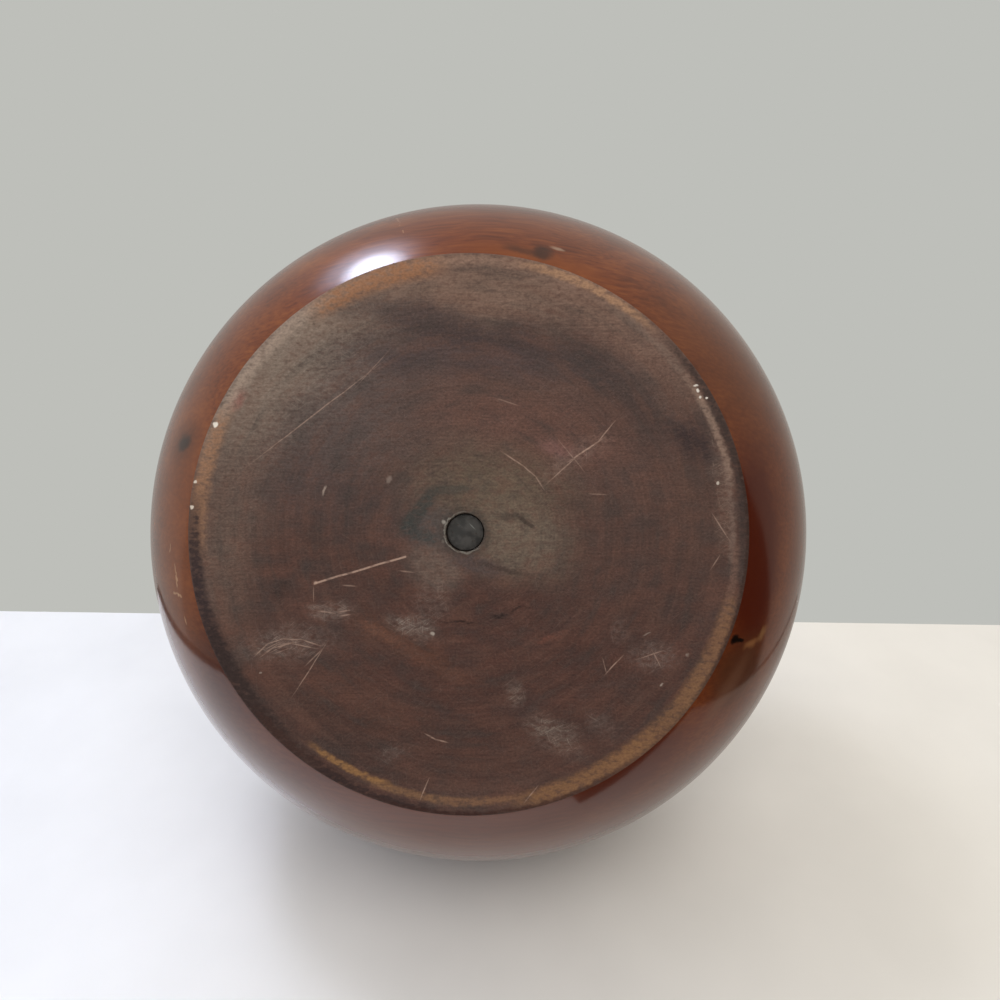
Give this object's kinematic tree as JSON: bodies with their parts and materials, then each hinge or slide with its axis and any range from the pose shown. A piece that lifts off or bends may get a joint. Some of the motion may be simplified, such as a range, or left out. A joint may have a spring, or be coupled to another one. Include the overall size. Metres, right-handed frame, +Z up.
{
  "type": "nut bowl with nutcracker and picks",
  "caption": "Turned wooden nut bowl with a centre post that holds a lever nutcracker and a ring of nut picks.",
  "frame": {"origin": "middle of the base, on the surface that the bowl stands on", "axes": "+Z up along the bowl's turning axis from base to rim; X along the slot in the post, across both cracker levers"},
  "size_m": [0.2798, 0.2798, 0.1996],
  "materials": {
    "bowl_wood": "gloss varnish on the side and inside, bare matt base",
    "post_wood": "gloss varnish",
    "bolt_steel": "dulled bare steel with rust bloom",
    "insert_brass": "as machined",
    "cracker_plate": "bright nickel plate, worn",
    "rivet_steel": "peened steel",
    "pick_plate": "bright nickel plate with a knurled grip"
  },
  "bodies": {
    "bowl": {"bowl_body": "bowl_wood", "carriage_bolt": "bolt_steel", "threaded_insert": "insert_brass", "centre_post": "post_wood"},
    "cracker": {"cracker_link_front": "cracker_plate", "cracker_link_back": "cracker_plate", "cracker_rivet_left": "rivet_steel", "cracker_rivet_right": "rivet_steel"},
    "left_lever": {"cracker_lever_left": "cracker_plate"},
    "right_lever": {"cracker_lever_right": "cracker_plate"},
    "pick_1": {"nut_pick_1": "pick_plate"},
    "pick_2": {"nut_pick_2": "pick_plate"},
    "pick_3": {"nut_pick_3": "pick_plate"},
    "pick_4": {"nut_pick_4": "pick_plate"},
    "pick_5": {"nut_pick_5": "pick_plate"},
    "pick_6": {"nut_pick_6": "pick_plate"}
  },
  "joints": [
    {"name": "cracker_lift", "type": "slide", "parent": "bowl", "child": "cracker", "axis": [0, 0, 1], "range_m": [0, 0.12]},
    {"name": "right_lever_open", "type": "hinge", "parent": "cracker", "child": "right_lever", "pos_m": [0.006, 0, 0.1946], "axis": [0, -1, 0], "range_deg": [0, 40]},
    {"name": "left_lever_open", "type": "hinge", "parent": "cracker", "child": "left_lever", "pos_m": [-0.006, 0, 0.1946], "axis": [0, 1, 0], "range_deg": [0, 40]},
    {"name": "pick_1_lift", "type": "slide", "parent": "bowl", "child": "pick_1", "axis": [0, 0, 1], "range_m": [0, 0.12]},
    {"name": "pick_2_lift", "type": "slide", "parent": "bowl", "child": "pick_2", "axis": [0, 0, 1], "range_m": [0, 0.12]},
    {"name": "pick_3_lift", "type": "slide", "parent": "bowl", "child": "pick_3", "axis": [0, 0, 1], "range_m": [0, 0.12]},
    {"name": "pick_4_lift", "type": "slide", "parent": "bowl", "child": "pick_4", "axis": [0, 0, 1], "range_m": [0, 0.12]},
    {"name": "pick_5_lift", "type": "slide", "parent": "bowl", "child": "pick_5", "axis": [0, 0, 1], "range_m": [0, 0.12]},
    {"name": "pick_6_lift", "type": "slide", "parent": "bowl", "child": "pick_6", "axis": [0, 0, 1], "range_m": [0, 0.12]}
  ],
  "couplings": [
    {"joint": "left_lever_open", "follows": "right_lever_open", "ratio": 1}
  ]
}
